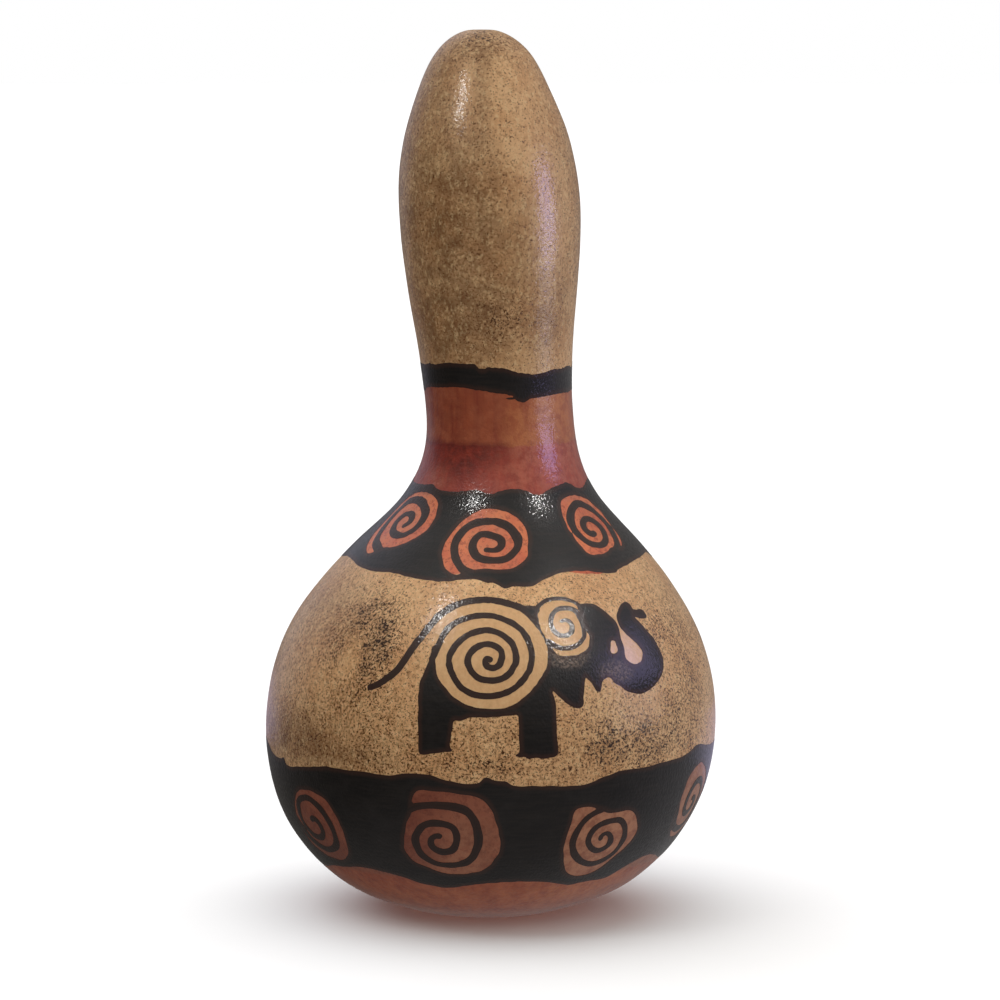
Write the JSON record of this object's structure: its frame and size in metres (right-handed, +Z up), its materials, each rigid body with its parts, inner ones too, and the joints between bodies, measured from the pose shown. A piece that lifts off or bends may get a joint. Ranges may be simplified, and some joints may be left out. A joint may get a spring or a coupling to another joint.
{
  "type": "painted gourd",
  "caption": "Dried bottle gourd with a round belly and a tall bulbed neck, painted in black, terracotta and tan with spirals and an elephant, standing on its own base.",
  "frame": {"origin": "middle of the flat spot that the gourd stands on, under the middle of its outline from above", "axes": "+Z up the neck, -Y towards the painted front with the elephant, +X to the right of that view"},
  "size_m": [0.1236, 0.124, 0.24],
  "materials": {
    "shell": "dried tan gourd skin, spattered and stained, under a clear glossy coat",
    "black_paint": "brushed black paint on the skin, under the same clear coat"
  },
  "bodies": {
    "root": {"gourd": "shell"}
  },
  "joints": []
}
